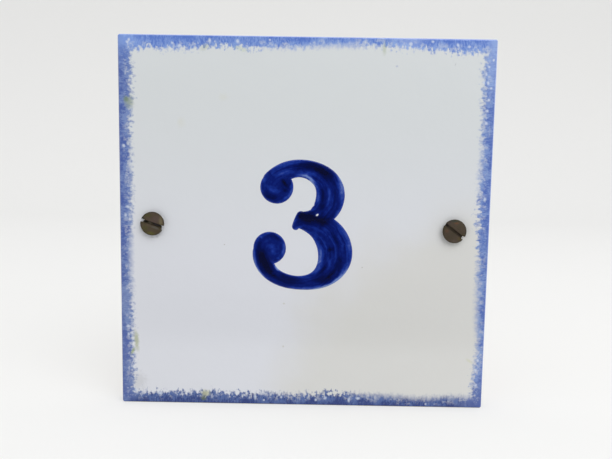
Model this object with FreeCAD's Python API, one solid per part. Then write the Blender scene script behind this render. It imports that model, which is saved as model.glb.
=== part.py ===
import FreeCAD, Part
import math
import os

from FreeCAD import Placement, Rotation, Vector

# House number plaque: a square glazed tile that carries a hand-painted 3 inside a sponged blue border,
# held to a wall by two slotted countersunk wood screws in nylon plugs.
# Millimetres. X runs to the viewer's right, Z up, and the face looks along -Y.
# The origin is the middle of the tile's back, which lies on the wall plane y = 0.

# Tile: pressed clay blank with a rolled, glazed front edge
tile_size = 150.0
tile_thickness = 7.0
corner_radius = 0.9
front_edge_radius = 0.7
back_arris = 0.4

# Back of the tile: upright ribs between shallow pressed grooves, inside a flat rim
back_rim = 8.0
rib_width = 3.0
groove_width = 8.0
groove_depth = 0.8
groove_draft = 0.5
pad_radius = 7.0

# Screw holes, made by hand before firing, so they are not quite level
hole_radius = 2.9
front_bevel = 0.5
back_bevel = 1.3
left_hole_inset = 13.6
left_hole_height = 0.2
right_hole_inset = 14.6
right_hole_height = -0.9

# Sponged border: width of the blue band on each side, and how far its inner edge wanders
border_left = 4.9
border_right = 4.5
border_top = 4.7
border_bottom = 4.2
border_wander = 0.6
corner_cut = 1.6
dabs_per_side = 10
glaze_build = 0.15
bare_foot = 1.2

# The wander is two swings added: how far each turns over half a dab, in radians, and its share
slow_swing_turn = 2.4
slow_swing_share = 0.6
quick_swing_turn = 5.3
quick_swing_share = 0.4

# Numeral: brush strokes of thick cobalt glaze; each station is x, z and the width of the brush mark there
numeral_relief = 0.2
upper_bowl = [
    (-13.1, 18.3, 8.0),
    (-10.3, 20.6, 7.9),
    (-6.7, 22.5, 7.4),
    (-2.1, 23.3, 7.1),
    (3.6, 22.0, 8.2),
    (8.1, 18.7, 10.2),
    (10.2, 14.0, 11.5),
    (9.6, 9.2, 11.3),
    (6.6, 4.9, 9.2),
]
lower_bowl = [
    (-0.4, 2.3, 7.3),
    (2.6, 1.5, 8.9),
    (5.9, 0.1, 10.8),
    (9.3, -2.7, 12.7),
    (12.1, -7.6, 13.9),
    (12.5, -12.8, 13.8),
    (10.5, -17.4, 11.9),
    (5.7, -21.7, 8.0),
    (-0.8, -23.2, 5.8),
    (-6.8, -22.6, 5.7),
    (-12.9, -19.7, 6.4),
    (-16.1, -15.4, 7.6),
    (-16.8, -11.0, 8.4),
]
waist = [
    (4.6, 6.4, 3.0),
    (2.4, 5.1, 3.0),
    (-0.2, 4.5, 3.0),
]
spur = [
    (-1.5, 4.3, 3.7),
    (-2.5, 2.4, 3.5),
    (-3.6, -0.1, 3.0),
]

# The round blobs that end the bowls: x, z and radius
upper_ball = (-11.4, 15.7, 6.7)
lower_ball = (-14.05, -9.1, 6.65)

# A speck that the brush missed: x, z, half its length, half its width, and its slope in degrees
missed_speck = (5.1, 4.7, 0.55, 0.35, 35.0)

# Slotted countersunk wood screw, 5 x 40
screw_length = 40.0
screw_radius = 2.5
head_radius = 4.8
head_land = 0.4
head_edge = 0.15
slot_width = 1.3
slot_depth = 1.7
tip_length = 4.5
tip_radius = 0.3
seat_clearance = 0.03
slot_turn = {
    "left": 18.0,
    "right": 36.5,
}

# Nylon wall plug, 7 mm, pushed in just below the wall's surface
plug_radius = 3.5
plug_set_back = 0.5
plug_collar = 8.0
plug_nose = 2.5
plug_nose_radius = 2.6
plug_bore_clearance = 0.05
plug_tip_room = 1.0
plug_slot_width = 1.0
ring_pitch = 7.0
ring_groove = 3.5
ring_depth = 0.4

# How far a body that cuts reaches past what it cuts, and how near an edge must lie to count as there
overshoot = 1.0
hair = 0.001

front_y = -tile_thickness
cone_height = head_radius - screw_radius
head_under_y = front_y + hole_radius + front_bevel - head_radius - seat_clearance
head_top_y = head_under_y - head_land
tip_y = head_top_y + screw_length
plug_bore_radius = screw_radius + plug_bore_clearance
plug_bore_end_y = tip_y + plug_tip_room
plug_end_y = plug_bore_end_y + plug_nose
holes = {
    "left": (left_hole_inset - tile_size / 2, left_hole_height),
    "right": (tile_size / 2 - right_hole_inset, right_hole_height),
}


def along_y(radius, start_y, end_y, x=0.0, z=0.0):
    """A round bar along Y."""
    return Part.makeCylinder(radius, end_y - start_y, Vector(x, start_y, z), Vector(0, 1, 0))


def turned(profile):
    """A solid turned about Y from its half profile of radius and y."""
    outline = Part.makePolygon([Vector(radius, y, 0) for radius, y in profile + profile[:1]])
    return Part.Face(outline).revolve(Vector(0, 0, 0), Vector(0, 1, 0), 360)


def through(points):
    """A smooth curve through the points."""
    curve = Part.BSplineCurve()
    curve.interpolate(points)
    return curve


def blank(inset):
    """The tile's outer form, drawn in by inset at its sides and front: rounded corners, rolled front edge."""
    side = tile_size - 2 * inset
    depth = tile_thickness - inset
    slab = Part.makeBox(side, depth, side, Vector(-side / 2, -depth, -side / 2))
    upright = [edge for edge in slab.Edges if edge.BoundBox.XLength + edge.BoundBox.ZLength < hair]
    slab = slab.makeFillet(corner_radius - inset, upright)
    front = [edge for edge in slab.Edges if edge.BoundBox.YMax < -depth + hair]
    return slab.makeFillet(front_edge_radius - inset, front)


def border_opening():
    """The white field inside the border: each edge is a row of arcs, one to a dab, and the corners are cut."""
    half = tile_size / 2
    sides = [
        (Vector(1, 0, 0), Vector(0, 0, -1), border_top, border_left, border_right),
        (Vector(0, 0, -1), Vector(-1, 0, 0), border_right, border_top, border_bottom),
        (Vector(-1, 0, 0), Vector(0, 0, 1), border_bottom, border_right, border_left),
        (Vector(0, 0, 1), Vector(1, 0, 0), border_left, border_bottom, border_top),
    ]
    rows = []
    points_per_side = 2 * dabs_per_side + 1
    for number, (along, inward, width, before, after) in enumerate(sides):
        start = -half + before + corner_cut
        step = (tile_size - before - after - 2 * corner_cut) / (points_per_side - 1)
        row = []
        for point in range(points_per_side):
            turn = number * points_per_side + point
            slow = slow_swing_share * math.sin(slow_swing_turn * turn)
            quick = quick_swing_share * math.sin(quick_swing_turn * turn)
            reach = width + border_wander * (slow + quick)
            row.append(along * (start + point * step) + inward * (reach - half))
        rows.append(row)
    edges = []
    for row, following in zip(rows, rows[1:] + rows[:1]):
        for begin, middle, end in zip(row[0::2], row[1::2], row[2::2]):
            edges.append(Part.Arc(begin, middle, end).toShape())
        edges.append(Part.LineSegment(row[-1], following[0]).toShape())
    return Part.Face(Part.Wire(edges)).extrude(Vector(0, -tile_thickness - overshoot, 0))


def make_border():
    """The blue band: a skin of glaze over the tile's margin, its rolled edge and its sides."""
    skin = blank(0).cut(blank(glaze_build))
    side = tile_size + 2 * overshoot
    foot = Part.makeBox(side, bare_foot + overshoot, side, Vector(-side / 2, -bare_foot, -side / 2))
    return skin.cut(foot).cut(border_opening())


def back_grooves():
    """Shallow grooves pressed in the back between upright ribs, with pads left round the screw holes."""
    pitch = groove_width + rib_width
    field = tile_size - 2 * back_rim
    count = int((field + rib_width) // pitch)
    first = -(count * pitch - rib_width) / 2
    section = [(0, 0), (groove_width, 0), (groove_width - groove_draft, -groove_depth), (groove_draft, -groove_depth)]
    grooves = []
    for number in range(count):
        left = first + number * pitch
        corners = [Vector(left + x, y, -field / 2) for x, y in section + section[:1]]
        grooves.append(Part.Face(Part.makePolygon(corners)).extrude(Vector(0, 0, field)))
    pads = [along_y(pad_radius, -tile_thickness, overshoot, x, z) for x, z in holes.values()]
    return Part.makeCompound(grooves).cut(Part.makeCompound(pads))


def screw_hole():
    """A round hole through the tile on the Y axis, bevelled at both faces."""
    return turned([
        (0, front_y - overshoot),
        (hole_radius + front_bevel + overshoot, front_y - overshoot),
        (hole_radius, front_y + front_bevel),
        (hole_radius, -back_bevel),
        (hole_radius + back_bevel + overshoot, overshoot),
        (0, overshoot),
    ])


def make_tile(border):
    """The glazed tile: the blank less the border's skin, the grooves of its back and the two holes."""
    tile = blank(0)
    arris = [edge for edge in tile.Edges if edge.BoundBox.YMin > -hair]
    tile = tile.makeChamfer(back_arris, arris)
    tile = tile.cut(border).cut(back_grooves())
    for x, z in holes.values():
        hole = screw_hole()
        hole.translate(Vector(x, 0, z))
        tile = tile.cut(hole)
    return tile


def brush_stroke(stations):
    """The mark of one stroke: its two edges lie half a width each side of a smooth path, with round ends."""
    path = through([Vector(x, front_y, z) for x, z, width in stations])
    one_edge = []
    other_edge = []
    ends = []
    for x, z, width in stations:
        middle = Vector(x, front_y, z)
        way = path.tangent(path.parameter(middle))[0]
        across = way.cross(Vector(0, 1, 0)) * (width / 2)
        one_edge.append(middle + across)
        other_edge.append(middle - across)
        ends.append((middle, way * (width / 2)))
    start = ends[0][0] - ends[0][1]
    finish = ends[-1][0] + ends[-1][1]
    outline = [
        through(one_edge).toShape(),
        Part.Arc(one_edge[-1], finish, other_edge[-1]).toShape(),
        through(other_edge).toShape(),
        Part.Arc(other_edge[0], start, one_edge[0]).toShape(),
    ]
    return Part.Face(Part.Wire(Part.__sortEdges__(outline)))


def round_blob(x, z, radius):
    """A round dab of glaze."""
    return Part.Face(Part.Wire(Part.Circle(Vector(x, front_y, z), Vector(0, 1, 0), radius).toShape()))


def make_numeral():
    """The 3: two bowls that end in balls, a waist with a spur, and a speck that the brush missed."""
    marks = [brush_stroke(stroke) for stroke in (upper_bowl, lower_bowl, waist, spur)]
    marks += [round_blob(*ball) for ball in (upper_ball, lower_ball)]
    solids = [mark.extrude(Vector(0, -numeral_relief, 0)) for mark in marks]
    figure = solids[0].fuse(solids[1:]).removeSplitter()
    x, z, half_length, half_width, slope = missed_speck
    turn = math.radians(slope)
    middle = Vector(x, front_y, z)
    tip = middle + Vector(math.cos(turn), 0, math.sin(turn)) * half_length
    flank = middle + Vector(-math.sin(turn), 0, math.cos(turn)) * half_width
    speck = Part.Face(Part.Wire(Part.Ellipse(tip, flank, middle).toShape()))
    return figure.cut(speck.extrude(Vector(0, -numeral_relief - overshoot, 0)))


def make_screw(side):
    """A turned wood screw with a flat head, its slot at the angle where that screw stopped."""
    screw = turned([
        (0, head_top_y),
        (head_radius - head_edge, head_top_y),
        (head_radius, head_top_y + head_edge),
        (head_radius, head_under_y),
        (screw_radius, head_under_y + cone_height),
        (screw_radius, tip_y - tip_length),
        (tip_radius, tip_y),
        (0, tip_y),
    ])
    slot_length = 2 * (head_radius + overshoot)
    corner = Vector(-slot_length / 2, head_top_y - overshoot, -slot_width / 2)
    slot = Part.makeBox(slot_length, slot_depth + overshoot, slot_width, corner)
    slot.rotate(Vector(0, 0, 0), Vector(0, 1, 0), slot_turn[side])
    return screw.cut(slot)


def make_plug():
    """A nylon plug: a plain collar, a ringed body split in two legs, and a tapered nose."""
    body_start = plug_set_back + plug_collar
    body_end = plug_bore_end_y
    plug = turned([
        (plug_bore_radius, plug_set_back),
        (plug_radius, plug_set_back),
        (plug_radius, body_end),
        (plug_nose_radius, plug_end_y),
        (0, plug_end_y),
        (0, body_end),
        (plug_bore_radius, body_end),
    ])
    rings = int((body_end - body_start) // ring_pitch)
    for ring in range(rings):
        near = body_start + ring * ring_pitch
        far = near + ring_groove
        band = along_y(plug_radius + overshoot, near, far)
        plug = plug.cut(band.cut(along_y(plug_radius - ring_depth, near, far)))
    reach = 2 * (plug_radius + overshoot)
    length = (rings - 1) * ring_pitch + ring_groove
    split = Part.makeBox(reach, length, plug_slot_width, Vector(-reach / 2, body_start, -plug_slot_width / 2))
    return plug.cut(split)


def keep(node, shape):
    """Write one node's solid."""
    if len(shape.Solids) == 1:
        shape = shape.Solids[0]
    print(node, "solids", len(shape.Solids), "volume", round(shape.Volume, 2), "valid", shape.isValid())
    shape.exportStep("parts/" + node + ".step")


def main():
    os.makedirs("parts", exist_ok=True)
    border = make_border()
    keep("tile", make_tile(border))
    keep("painted_border", border)
    keep("painted_numeral", make_numeral())
    for side, (x, z) in holes.items():
        place = Placement(Vector(x, 0, z), Rotation())
        screw = make_screw(side)
        screw.Placement = place.multiply(screw.Placement)
        keep("screw_" + side, screw)
        plug = make_plug()
        plug.Placement = place.multiply(plug.Placement)
        keep("wall_plug_" + side, plug)


main()
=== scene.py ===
import math

import bmesh
import bpy
import numpy as np
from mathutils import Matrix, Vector
from mathutils.kdtree import KDTree


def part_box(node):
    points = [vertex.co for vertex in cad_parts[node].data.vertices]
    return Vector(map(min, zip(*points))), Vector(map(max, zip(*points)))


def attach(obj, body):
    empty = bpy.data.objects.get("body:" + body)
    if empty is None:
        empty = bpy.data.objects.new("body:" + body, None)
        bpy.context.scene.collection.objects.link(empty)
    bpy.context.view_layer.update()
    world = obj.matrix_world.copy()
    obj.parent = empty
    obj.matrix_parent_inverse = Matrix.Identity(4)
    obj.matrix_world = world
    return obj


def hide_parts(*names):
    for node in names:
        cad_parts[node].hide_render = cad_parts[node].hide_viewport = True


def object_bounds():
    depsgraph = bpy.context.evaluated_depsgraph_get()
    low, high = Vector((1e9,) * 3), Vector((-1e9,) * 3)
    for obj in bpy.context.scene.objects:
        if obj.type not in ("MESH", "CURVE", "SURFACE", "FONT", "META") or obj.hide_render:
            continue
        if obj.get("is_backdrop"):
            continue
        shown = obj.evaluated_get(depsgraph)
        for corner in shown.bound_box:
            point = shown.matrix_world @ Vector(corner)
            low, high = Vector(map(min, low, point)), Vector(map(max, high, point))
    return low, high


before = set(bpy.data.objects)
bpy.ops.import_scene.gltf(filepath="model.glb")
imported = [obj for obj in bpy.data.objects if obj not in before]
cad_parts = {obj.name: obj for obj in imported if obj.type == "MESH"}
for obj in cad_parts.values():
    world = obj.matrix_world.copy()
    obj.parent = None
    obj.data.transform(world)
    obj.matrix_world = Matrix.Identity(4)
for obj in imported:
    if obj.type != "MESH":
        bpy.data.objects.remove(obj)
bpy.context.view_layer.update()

# The view: close in front of the plaque, a little above its middle and tilted by a degree.
bpy.ops.object.select_all(action="DESELECT")
bpy.ops.object.camera_add(
    location=(0.00155, -0.22728, 0.0187),
    rotation=(math.radians(84.814), math.radians(-0.932), math.radians(0.324)),
)
camera = bpy.context.object
camera.name = "front_view"
camera.data.sensor_width = 36
camera.data.lens = 32.06
camera.data.clip_start = 0.01
bpy.context.scene.camera = camera
bpy.context.scene.view_settings.view_transform = "Standard"


# The studio: a sheet of matt pale card that lies under the plaque and sweeps up far behind it.
def linear(code):
    """A colour given as sRGB hex, as the linear red, green, blue and alpha that a shader takes."""
    shares = [int(code[place:place + 2], 16) / 255 for place in (1, 3, 5)]
    return [s / 12.92 if s <= 0.04045 else ((s + 0.055) / 1.055) ** 2.4 for s in shares] + [1.0]


def add_node(tree, kind, inputs=None, **settings):
    """Adds a shader node with its settings, and gives each input a value or another node's output."""
    node = tree.nodes.new("ShaderNode" + kind)
    for name, value in settings.items():
        setattr(node, name, value)
    sockets = [socket for socket in node.inputs if socket.enabled]
    for key, value in (inputs or {}).items():
        socket = sockets[key] if isinstance(key, int) else next(s for s in sockets if s.name == key)
        if isinstance(value, bpy.types.Node):
            value = next(output for output in value.outputs if output.enabled)
        if isinstance(value, bpy.types.NodeSocket):
            tree.links.new(value, socket)
        else:
            socket.default_value = value
    return node


def new_material(name):
    """An empty material, and its node tree."""
    material = bpy.data.materials.new(name)
    material.use_nodes = True
    material.node_tree.nodes.clear()
    return material, material.node_tree


def pick(piece, kind, test):
    """In edit mode, leaves selected only those verts, edges or faces whose corners pass the test."""
    bpy.ops.mesh.select_all(action="DESELECT")
    bpy.ops.mesh.select_mode(type={"verts": "VERT", "edges": "EDGE", "faces": "FACE"}[kind])
    form = bmesh.from_edit_mesh(piece.data)
    for part in getattr(form, kind):
        corners = [part.co] if kind == "verts" else [vertex.co for vertex in part.verts]
        part.select_set(test(corners))
    form.select_flush_mode()
    bmesh.update_edit_mesh(piece.data)


floor_z = -0.075
card_width, card_front, card_back, card_rise, card_bend = 6.0, -0.085, 1.8, 1.8, 0.7
bpy.ops.object.select_all(action="DESELECT")
bpy.ops.mesh.primitive_plane_add(size=1, location=(0, (card_front + card_back) / 2, floor_z))
card = bpy.context.object
card.name = "card_sweep"
card.scale = (card_width, card_back - card_front, 1)
bpy.ops.object.transform_apply(location=True, scale=True)
bpy.ops.object.mode_set(mode="EDIT")
pick(card, "edges", lambda corners: all(corner.y > card_back - 0.01 for corner in corners))
bpy.ops.mesh.extrude_region_move(TRANSFORM_OT_translate={"value": (0, 0, card_rise)})
pick(card, "edges", lambda corners: all(corner.y > card_back - 0.01 and corner.z < 0 for corner in corners))
bpy.ops.mesh.bevel(offset=card_bend, segments=24)
bpy.ops.object.mode_set(mode="OBJECT")
bpy.ops.object.shade_smooth()

# Matt card: pale grey paper. Under the window it answers less to the lamp, so that it stays short of white,
# and it throws less light back on the plaque than its tone would.
card_stock, tree = new_material("matt_card")
path = add_node(tree, "LightPath")
card_tone = add_node(
    tree, "Mix", {"Factor": path.outputs["Is Diffuse Ray"], "A": linear("#EDEDEB"), "B": linear("#D1D1CF")},
    data_type="RGBA",
)
matt = add_node(tree, "BsdfPrincipled", {"Base Color": card_tone, "Roughness": 0.9})
lit = add_node(tree, "Emission", {"Color": linear("#F4F4F3"), "Strength": 1.0})
seen = add_node(
    tree, "Math", {0: path.outputs["Is Camera Ray"], 1: path.outputs["Is Glossy Ray"]}, operation="MAXIMUM"
)
here = add_node(tree, "SeparateXYZ", {0: add_node(tree, "TexCoord").outputs["Object"]}).outputs["Y"]
under_window = add_node(
    tree, "MapRange", {"Value": here, "From Min": -0.12, "From Max": -0.55, "To Min": 0.55, "To Max": 0.85},
    interpolation_type="SMOOTHSTEP",
)
share = add_node(tree, "Math", {0: seen, 1: under_window}, operation="MULTIPLY")
shader = add_node(tree, "MixShader", {0: share, 1: matt, 2: lit})
add_node(tree, "OutputMaterial", {"Surface": shader})
card.data.materials.append(card_stock)
card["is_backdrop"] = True

# The card goes on in front of the plaque, but there it stays out of what the glaze mirrors.
card_length = 1.6
bpy.ops.object.select_all(action="DESELECT")
bpy.ops.mesh.primitive_plane_add(size=1, location=(0, card_front - card_length / 2, floor_z))
apron = bpy.context.object
apron.name = "card_apron"
apron.scale = (card_width, card_length, 1)
bpy.ops.object.transform_apply(location=True, scale=True)
apron.visible_glossy = False
apron.visible_diffuse = False
apron.data.materials.append(card_stock)
apron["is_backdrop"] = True

# The light: a broad soft window from the upper right, and an even pale room that is dim only straight in
# front of the plaque, so that the glaze mirrors nothing bright.
bpy.ops.object.select_all(action="DESELECT")
bpy.ops.object.light_add(type="AREA", location=(0.50, -0.72, 0.78))
window = bpy.context.object
window.name = "soft_window"
window.data.shape = "SQUARE"
window.data.size = 0.8
window.data.energy = 5.6
window.rotation_euler = (-Vector(window.location)).to_track_quat("-Z", "Y").to_euler()
room = bpy.data.worlds.new("pale_room")
bpy.context.scene.world = room
room.use_nodes = True
tree = room.node_tree
tree.nodes.clear()
way = add_node(tree, "TexCoord").outputs["Generated"]
ahead = add_node(tree, "VectorMath", {0: way, 1: (0, -1, 0)}, operation="DOT_PRODUCT").outputs["Value"]
level = add_node(
    tree, "MapRange", {"Value": ahead, "From Min": 0.84, "From Max": 0.925, "To Min": 1.10, "To Max": 0.01},
    interpolation_type="SMOOTHSTEP",
)
seen = add_node(tree, "LightPath").outputs["Is Camera Ray"]
strength = add_node(tree, "Mix", {"Factor": seen, "A": level, "B": 0.9}, data_type="FLOAT")
air = add_node(tree, "Background", {"Color": linear("#F8F8F9"), "Strength": strength})
add_node(tree, "OutputWorld", {"Surface": air})

# The tile: earthenware clay pressed to a ribbed back and a rolled front edge, fired, dipped in milk-white
# tin glaze and fired again. The blue was dabbed round its margin with a sponge and runs over the edge.
# Two screw holes were made in the clay by hand.
tile_size, tile_thickness = 0.150, 0.007
corner_radius, rolled_edge, back_arris = 0.0009, 0.0007, 0.0004
groove_count, groove_pitch, groove_width, groove_depth, groove_end = 12, 0.011, 0.008, 0.0008, 0.067
floor_share = (0.875, 1, 0.995)
hole_places = {"left": (-0.0614, 0.0002), "right": (0.0604, -0.0009)}
hole_radius, front_bevel, back_bevel, pad_radius = 0.0029, 0.0005, 0.0013, 0.007
overshoot, hair = 0.001, 0.00001


def add_turned(name, profile, sides):
    """A round piece about the Y axis, drawn out from one radius and place to the next."""
    (radius, y), *steps = profile
    bpy.ops.object.select_all(action="DESELECT")
    bpy.ops.mesh.primitive_circle_add(
        vertices=sides, radius=radius, fill_type="NGON", location=(0, y, 0), rotation=(math.pi / 2, 0, 0)
    )
    piece = bpy.context.object
    piece.name = name
    bpy.ops.object.transform_apply(location=True, rotation=True)
    bpy.ops.object.mode_set(mode="EDIT")
    bpy.ops.mesh.select_all(action="SELECT")
    for next_radius, next_y in steps:
        bpy.ops.mesh.extrude_region_move(TRANSFORM_OT_translate={"value": (0, next_y - y, 0)})
        share = next_radius / radius
        bpy.ops.transform.resize(value=(share, 1, share), center_override=(0, next_y, 0))
        radius, y = next_radius, next_y
    bpy.ops.mesh.select_all(action="SELECT")
    bpy.ops.mesh.normals_make_consistent(inside=False)
    bpy.ops.object.mode_set(mode="OBJECT")
    return piece


def add_block(name, low, high):
    """A square block between two corners."""
    low, high = Vector(low), Vector(high)
    bpy.ops.object.select_all(action="DESELECT")
    bpy.ops.mesh.primitive_cube_add(size=1, location=(low + high) / 2)
    piece = bpy.context.object
    piece.name = name
    piece.scale = high - low
    bpy.ops.object.transform_apply(location=True, scale=True)
    return piece


def choose(piece):
    """Selects this object alone, and makes it the active one."""
    bpy.ops.object.select_all(action="DESELECT")
    piece.select_set(True)
    bpy.context.view_layer.objects.active = piece


def carve(piece, tool, operation="DIFFERENCE"):
    """Cuts the piece with the tool, or joins or meets them, and throws the tool away."""
    bpy.context.view_layer.objects.active = piece
    change = piece.modifiers.new("carve", "BOOLEAN")
    change.object = tool
    change.operation = operation
    change.solver = "EXACT"
    bpy.ops.object.modifier_apply(modifier=change.name)
    bpy.data.objects.remove(tool)


half = tile_size / 2
tile = add_block("glazed_tile", (-half, -tile_thickness, -half), (half, 0, half))
bpy.ops.object.mode_set(mode="EDIT")
pick(tile, "edges", lambda corners: abs(corners[0].y - corners[1].y) > hair)
bpy.ops.mesh.bevel(offset=corner_radius, segments=8)
pick(tile, "edges", lambda corners: all(corner.y < hair - tile_thickness for corner in corners))
bpy.ops.mesh.bevel(offset=rolled_edge, segments=8)
pick(tile, "edges", lambda corners: all(corner.y > -hair for corner in corners))
bpy.ops.mesh.bevel(offset=back_arris, segments=2)
bpy.ops.object.mode_set(mode="OBJECT")

# The back is pressed with a row of tapered grooves, and a plain pad is left round each hole.
rib_width = groove_pitch - groove_width
first_groove = -(groove_count * groove_pitch - rib_width) / 2
groove = add_block(
    "groove_tool",
    (first_groove, -groove_depth, -groove_end),
    (first_groove + groove_width, overshoot, groove_end),
)
bpy.ops.object.mode_set(mode="EDIT")
pick(groove, "faces", lambda corners: all(corner.y < hair - groove_depth for corner in corners))
bpy.ops.transform.resize(value=floor_share, center_override=(first_groove + groove_width / 2, 0, 0))
bpy.ops.object.mode_set(mode="OBJECT")
row = groove.modifiers.new("row", "ARRAY")
row.count = groove_count
row.use_relative_offset = False
row.use_constant_offset = True
row.constant_offset_displace = (groove_pitch, 0, 0)
bpy.ops.object.modifier_apply(modifier=row.name)
for x, z in hole_places.values():
    pad = add_turned("pad_tool", [(pad_radius, -3 * overshoot), (pad_radius, 2 * overshoot)], sides=64)
    pad.location = (x, 0, z)
    bpy.ops.object.transform_apply(location=True)
    carve(groove, pad)
carve(tile, groove)

# Both screw holes are bevelled in front, and broken out wider at the back.
hole_profile = [
    (hole_radius + front_bevel + overshoot, -tile_thickness - overshoot),
    (hole_radius, front_bevel - tile_thickness),
    (hole_radius, -back_bevel),
    (hole_radius + back_bevel + overshoot, overshoot),
]
for x, z in hole_places.values():
    hole = add_turned("hole_tool", hole_profile, sides=64)
    hole.location = (x, 0, z)
    bpy.ops.object.transform_apply(location=True)
    carve(tile, hole)
choose(tile)
bpy.ops.object.shade_smooth_by_angle(angle=math.radians(30))

# Tin-glazed earthenware: an opaque white glass, wet-looking but dimpled. A painted reflection makes its white
# paler and bluer towards the bottom and warmer towards the lower right. Sponged blue lies thin on it, in
# bristly dabs with pale pores.
glaze, tree = new_material("sponged_tin_glaze")
place = add_node(tree, "TexCoord").outputs["Object"]
in_mm = add_node(tree, "VectorMath", {"Vector": place, "Scale": 1000.0}, operation="SCALE")
x_mm, y_mm, z_mm = add_node(tree, "SeparateXYZ", {0: in_mm}).outputs
half_mm = 1000 * half
# Painted reflection: warmer beyond a wavering line towards the lower right, paler and bluer lower down.
drift = add_node(tree, "TexNoise", {"Vector": in_mm, "Scale": 0.035, "Detail": 3.0})
from_corner = add_node(tree, "VectorMath", {0: in_mm, 1: (half_mm, -7, -half_mm)}, operation="DISTANCE")
from_corner = from_corner.outputs["Value"]
wavering = add_node(tree, "Math", {0: drift, 1: 40.0, 2: from_corner}, operation="MULTIPLY_ADD")
painted_warm_reflection = add_node(
    tree, "MapRange", {"Value": wavering, "From Min": 119.0, "From Max": 82.0},
    interpolation_type="SMOOTHSTEP",
)
painted_reflection_by_height = add_node(
    tree, "MapRange", {"Value": z_mm, "From Min": -30.0, "From Max": 60.0}, interpolation_type="SMOOTHSTEP"
)
white_and_painted_reflection = add_node(
    tree, "Mix", {"Factor": painted_reflection_by_height, "A": linear("#DCDEE4"), "B": linear("#D3D7D8")}, data_type="RGBA"
)
white = add_node(
    tree, "Mix", {"Factor": painted_warm_reflection, "A": white_and_painted_reflection, "B": linear("#D7D7D4")}, data_type="RGBA"
)


def stain(tree, in_mm, colour, marks):
    """Lays soft marks with uneven edges over a colour.

    Each has its place across and up, its half width and half height, all in millimetres, its slope in
    degrees, and its tone and strength.
    """
    ripple = add_node(tree, "TexNoise", {"Vector": in_mm, "Scale": 0.8, "Detail": 3.0, "Roughness": 0.6})
    for x, z, half_width, half_height, slope, tone, strength in marks:
        spot = add_node(
            tree, "Mapping",
            {"Vector": in_mm, "Location": (x, 0, z), "Rotation": (0, math.radians(slope), 0),
             "Scale": (half_width, 1000, half_height)},
            vector_type="TEXTURE",
        )
        far = add_node(tree, "VectorMath", {0: spot}, operation="LENGTH").outputs["Value"]
        far = add_node(tree, "Math", {0: ripple, 1: 1.2, 2: far}, operation="MULTIPLY_ADD")
        mark = add_node(
            tree, "MapRange", {"Value": far, "From Min": 1.9, "From Max": 0.8, "To Max": strength},
            interpolation_type="SMOOTHSTEP",
        )
        colour = add_node(tree, "Mix", {"Factor": mark, "A": colour, "B": linear(tone)}, data_type="RGBA")
    return colour


white = stain(tree, in_mm, white, [(-69.0, -66.0, 5.0, 5.0, 0, "#BFC0C4", 0.5)])

# For each side of the tile: how far the blue reaches in, in millimetres at even steps from the left end or
# the top; how jagged it is at each step, from smooth at 0.5 to torn at 2.4; the pale and the deep tone of the
# paint; and its tone on the rolled rim, where the glaze thins and which carries painted light as well: a
# painted highlight on the top and right rims, a painted shade on the bottom rim.
sponged_sides = {
    "top": (
        (5.5, 5.5, 4.5, 4.8, 4.5, 4.2, 3.5, 3.2, 4.0, 4.6, 5.4),
        (2.0, 1.8, 2.0, 2.2, 1.2, 1.2, 0.7, 1.6, 2.0, 2.0, 2.0),
        "#819CD4", "#5877C4", "#A3B6EA",
    ),
    "left": (
        (5.2, 5.3, 4.8, 4.6, 5.0, 4.6, 4.3, 4.5, 4.7, 4.9, 4.9),
        (1.8, 1.6, 1.6, 1.4, 1.6, 1.4, 0.5, 0.9, 1.6, 1.6, 2.0),
        "#798DBC", "#4D62A4", "#6C76A4",
    ),
    "right": (
        (5.0, 4.9, 4.5, 4.8, 5.0, 5.0, 4.1, 4.1, 3.8, 3.0, 4.2),
        (1.6, 1.6, 1.4, 1.0, 1.6, 2.2, 1.4, 0.8, 0.5, 1.0, 1.6),
        "#8299CA", "#546DB4", "#A6B6E0",
    ),
    "bottom": (
        (4.7, 4.9, 4.9, 4.5, 4.7, 4.8, 5.3, 5.0, 4.5, 3.9, 4.7),
        (2.0, 2.0, 2.2, 2.2, 1.4, 1.8, 2.4, 1.0, 0.7, 0.6, 0.8),
        "#5068A0", "#21387A", "#34384E",
    ),
}


def along_side(run, values, most):
    """A curve along a side through eleven values at even steps, each between nought and the most."""
    first_step, step_length = 0.09, 0.082
    curve = add_node(tree, "FloatCurve", {"Value": run})
    line = curve.mapping.curves[0]
    line.points[0].location = (0.0, values[0] / most)
    line.points[1].location = (1.0, values[-1] / most)
    for step, value in enumerate(values):
        line.points.new(first_step + step_length * step, value / most)
    curve.mapping.update()
    return add_node(tree, "Math", {0: curve, 1: most}, operation="MULTIPLY")


# The sponge's marks run inwards from the edge, 1 to 2 mm apart, with blotches and finer streaks in them.
# Where the shore is smooth it is also soft. At a corner the side that reaches further in gives the tone.
def marks(across, up, detail):
    """Streaks of so many to the millimetre across and up."""
    stretched = add_node(tree, "VectorMath", {0: in_mm, 1: (across, 0.4, up)}, operation="MULTIPLY")
    return add_node(
        tree, "TexNoise",
        {"Vector": stretched, "Scale": 1.0, "Detail": detail, "Roughness": 0.6, "Distortion": 0.6},
    )


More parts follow.
